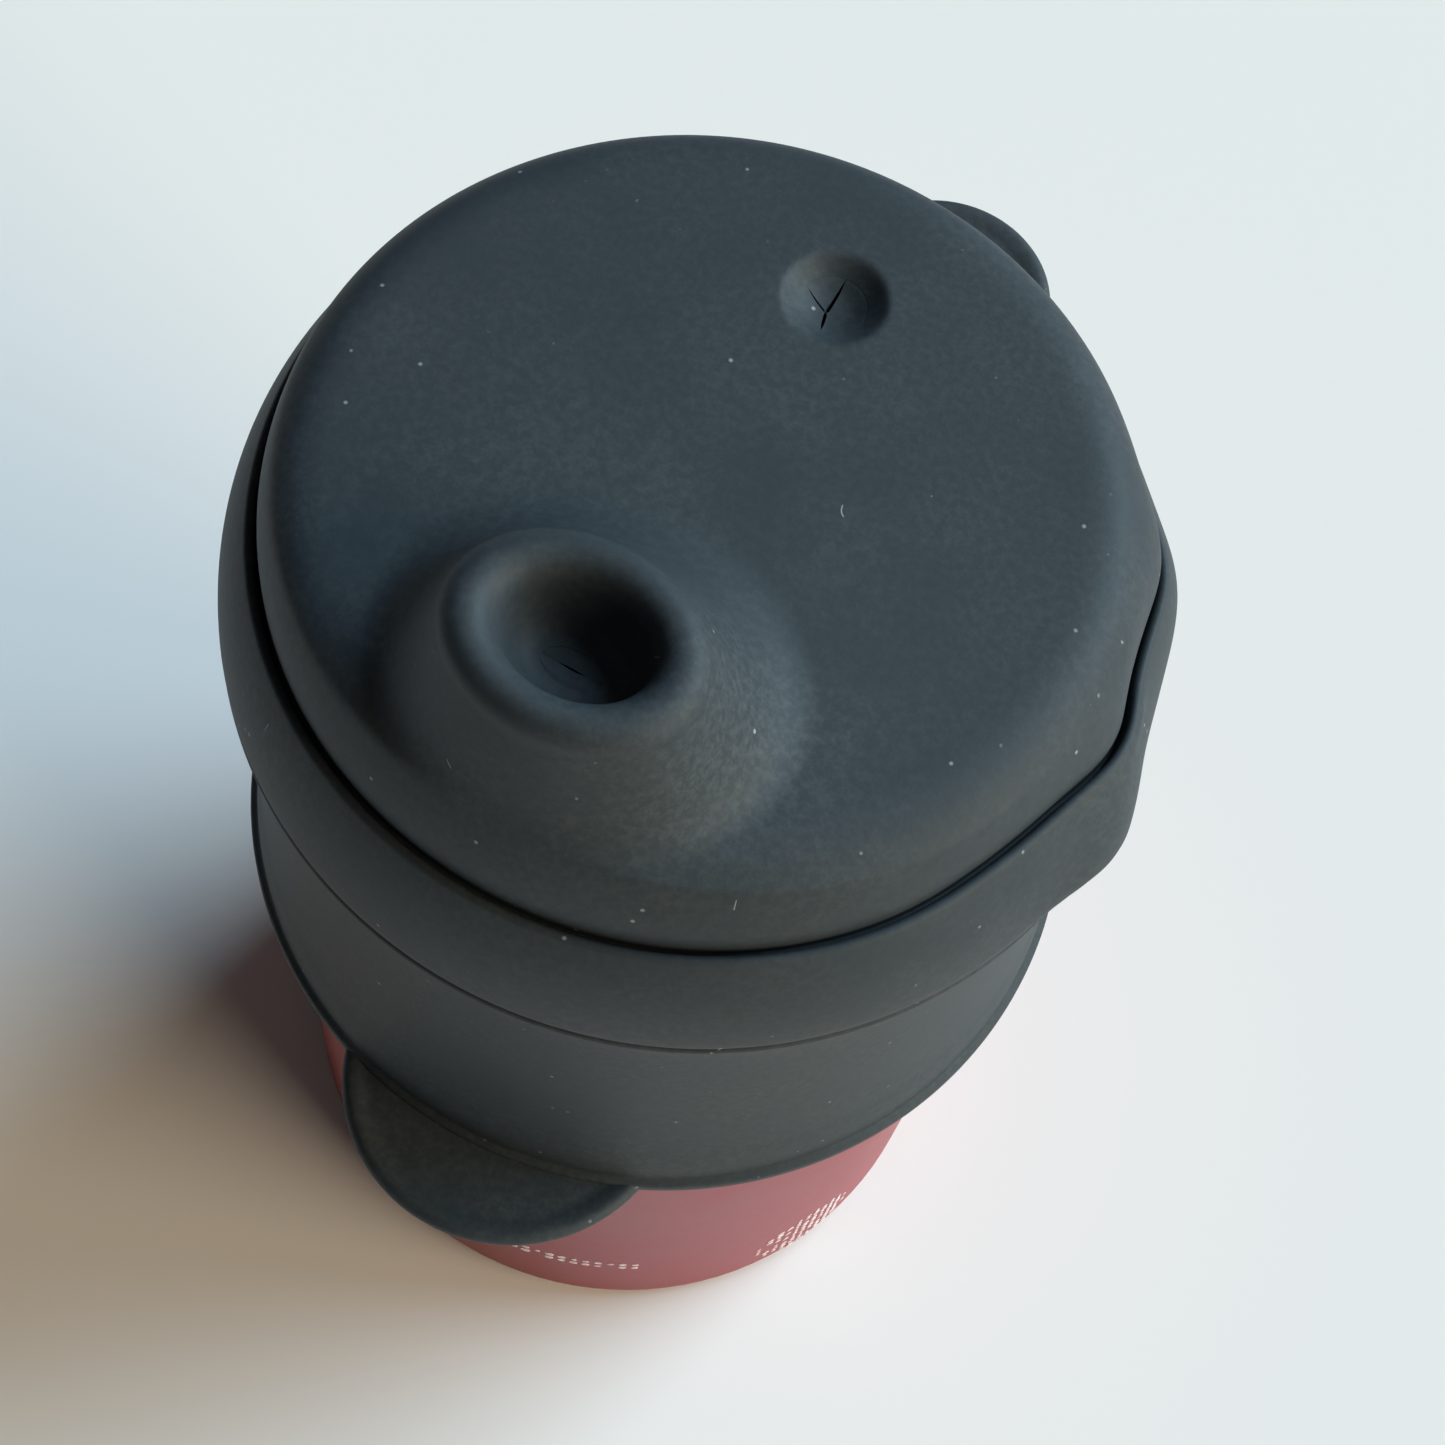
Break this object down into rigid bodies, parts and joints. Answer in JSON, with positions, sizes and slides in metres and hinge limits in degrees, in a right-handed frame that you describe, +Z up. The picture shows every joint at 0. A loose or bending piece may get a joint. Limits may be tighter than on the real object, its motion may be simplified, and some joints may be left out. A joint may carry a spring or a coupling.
{
  "type": "toddler spout cup",
  "caption": "Toddler's drinking cup: double-walled metal tumbler with a silicone grip sleeve and a stretch-on silicone lid with a soft oval spout and a vent dimple.",
  "frame": {"origin": "centre of the cup's base, on the surface that it stands on", "axes": "+Z up along the cup's axis; the spout is towards -Y and the vent and the lid's pull tab towards +Y"},
  "size_m": [0.0818, 0.0984, 0.1425],
  "materials": {
    "painted_shell": "satin",
    "bare_steel": "brushed",
    "getter": "matte",
    "slate_silicone": "matte"
  },
  "bodies": {
    "cup": {"cup_shell": "painted_shell", "cup_liner": "bare_steel", "cup_base_plate": "bare_steel", "getter_pill": "getter"},
    "sleeve": {"grip_sleeve": "slate_silicone"},
    "sleeve_tab": {"sleeve_front_tab": "slate_silicone"},
    "lid": {"lid_cap": "slate_silicone", "spout": "slate_silicone"},
    "lid_tab": {"lid_rear_tab": "slate_silicone"},
    "lip_front": {"spout_lip_front": "slate_silicone"},
    "lip_back": {"spout_lip_back": "slate_silicone"},
    "petal_a": {"vent_petal_a": "slate_silicone"},
    "petal_b": {"vent_petal_b": "slate_silicone"},
    "petal_c": {"vent_petal_c": "slate_silicone"},
    "petal_d": {"vent_petal_d": "slate_silicone"}
  },
  "joints": [
    {"name": "sleeve_lift", "type": "slide", "parent": "cup", "child": "sleeve", "axis": [0, 0, 1], "range_m": [0, 0.07]},
    {"name": "lid_lift", "type": "slide", "parent": "sleeve", "child": "lid", "axis": [0, 0, 1], "range_m": [0, 0.06]},
    {"name": "sleeve_tab_flex", "type": "hinge", "parent": "sleeve", "child": "sleeve_tab", "pos_m": [0.0033, -0.04197, 0.066], "axis": [0.9969, 0.0785, 0], "range_deg": [-50, 60], "stiffness_Nm_per_rad": 0.001},
    {"name": "lid_tab_flex", "type": "hinge", "parent": "lid", "child": "lid_tab", "pos_m": [0.0044, 0.04187, 0.1101], "axis": [0.9945, -0.1045, 0], "range_deg": [-60, 50], "stiffness_Nm_per_rad": 0.001},
    {"name": "lip_front_flex", "type": "hinge", "parent": "lid", "child": "lip_front", "pos_m": [0, -0.024, 0.136], "axis": [1, 0, 0], "range_deg": [0, 30], "stiffness_Nm_per_rad": 0.000003, "springref_deg": -11.46},
    {"name": "lip_back_flex", "type": "hinge", "parent": "lid", "child": "lip_back", "pos_m": [0, -0.021, 0.136], "axis": [-1, 0, 0], "range_deg": [0, 30], "stiffness_Nm_per_rad": 0.000003, "springref_deg": -11.46},
    {"name": "petal_a_flex", "type": "hinge", "parent": "lid", "child": "petal_a", "pos_m": [0.00183, 0.02255, 0.1272], "axis": [0.7771, -0.6293, 0], "range_deg": [0, 30], "stiffness_Nm_per_rad": 0.000002, "springref_deg": -11.46},
    {"name": "petal_b_flex", "type": "hinge", "parent": "lid", "child": "petal_b", "pos_m": [-0.00225, 0.02212, 0.1272], "axis": [0.6293, 0.7771, 0], "range_deg": [0, 30], "stiffness_Nm_per_rad": 0.000002, "springref_deg": -11.46},
    {"name": "petal_c_flex", "type": "hinge", "parent": "lid", "child": "petal_c", "pos_m": [-0.00183, 0.01805, 0.1272], "axis": [-0.7771, 0.6293, 0], "range_deg": [0, 30], "stiffness_Nm_per_rad": 0.000002, "springref_deg": -11.46},
    {"name": "petal_d_flex", "type": "hinge", "parent": "lid", "child": "petal_d", "pos_m": [0.00225, 0.01847, 0.1272], "axis": [-0.6293, -0.7771, 0], "range_deg": [0, 30], "stiffness_Nm_per_rad": 0.000002, "springref_deg": -11.46}
  ],
  "couplings": [
    {"joint": "lip_back_flex", "follows": "lip_front_flex", "ratio": 1},
    {"joint": "petal_b_flex", "follows": "petal_a_flex", "ratio": 1},
    {"joint": "petal_c_flex", "follows": "petal_a_flex", "ratio": 1},
    {"joint": "petal_d_flex", "follows": "petal_a_flex", "ratio": 1}
  ]
}
